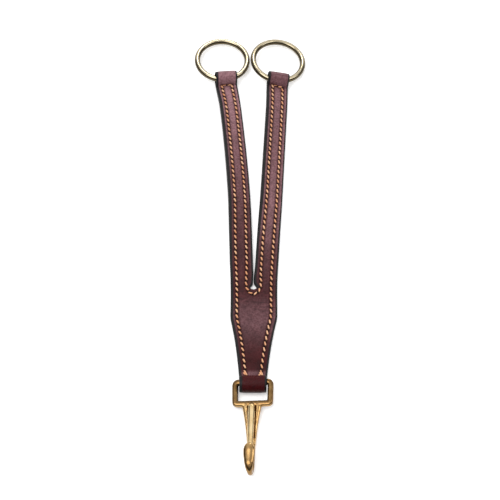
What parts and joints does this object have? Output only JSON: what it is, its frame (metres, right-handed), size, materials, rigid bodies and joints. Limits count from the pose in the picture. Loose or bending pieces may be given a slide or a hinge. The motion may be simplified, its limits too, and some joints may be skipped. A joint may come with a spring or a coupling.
{
  "type": "running martingale attachment",
  "caption": "Forked leather strap with a ring in the end of each arm for the reins and a spring-tongue hook on its foot for a breastplate ring.",
  "frame": {"origin": "middle of the yoke on its back face, which lies on the table", "axes": "+Y up the strap from the hook towards the rings, +Z out of the front face, +X to the right arm"},
  "size_m": [0.0842, 0.3504, 0.0149],
  "materials": {
    "front_leather": "polished burgundy bridle leather with black painted edges",
    "lining_leather": "smooth burgundy strap leather with black painted edges",
    "thread": "waxed linen thread",
    "ring_brass": "pale polished brass",
    "hook_brass": "polished cast brass"
  },
  "bodies": {
    "yoke": {"yoke_front": "front_leather", "yoke_lining": "lining_leather", "yoke_left_front_stitching": "thread", "yoke_left_back_stitching": "thread", "yoke_right_front_stitching": "thread", "yoke_right_back_stitching": "thread", "fork_front_stitching": "thread", "fork_back_stitching": "thread"},
    "left_arm": {"left_arm_front": "front_leather", "left_arm_lining": "lining_leather", "left_arm_front_stitching": "thread", "left_arm_back_stitching": "thread"},
    "right_arm": {"right_arm_front": "front_leather", "right_arm_lining": "lining_leather", "right_arm_front_stitching": "thread", "right_arm_back_stitching": "thread"},
    "left_ring": {"left_ring": "ring_brass"},
    "right_ring": {"right_ring": "ring_brass"},
    "hook": {"hook_body": "hook_brass", "tongue_rivet": "hook_brass"},
    "tongue": {"hook_tongue": "hook_brass"}
  },
  "joints": [
    {"name": "left_arm_flex", "type": "hinge", "parent": "yoke", "child": "left_arm", "pos_m": [-0.0086, 0.032, 0.00205], "axis": [1, 0, 0], "range_deg": [-75, 75], "stiffness_Nm_per_rad": 0.1},
    {"name": "right_arm_flex", "type": "hinge", "parent": "yoke", "child": "right_arm", "pos_m": [0.00875, 0.032, 0.00205], "axis": [1, 0, 0], "range_deg": [-75, 75], "stiffness_Nm_per_rad": 0.1},
    {"name": "left_ring_swing", "type": "hinge", "parent": "left_arm", "child": "left_ring", "pos_m": [-0.0226, 0.1919, 0.0058], "axis": [1, 0, 0], "range_deg": [-155, 165]},
    {"name": "right_ring_swing", "type": "hinge", "parent": "right_arm", "child": "right_ring", "pos_m": [0.01955, 0.191, 0.0058], "axis": [1, 0, 0], "range_deg": [-155, 165]},
    {"name": "hook_swing", "type": "hinge", "parent": "yoke", "child": "hook", "pos_m": [-0.00075, -0.0577, 0.0058], "axis": [0.9901, -0.0207, 0.1392], "range_deg": [-160, 115]},
    {"name": "tongue_press", "type": "hinge", "parent": "hook", "child": "tongue", "pos_m": [-0.00168, -0.07197, 0.00673], "axis": [0.9901, -0.0207, 0.1392], "range_deg": [0, 7], "stiffness_Nm_per_rad": 0.1}
  ]
}
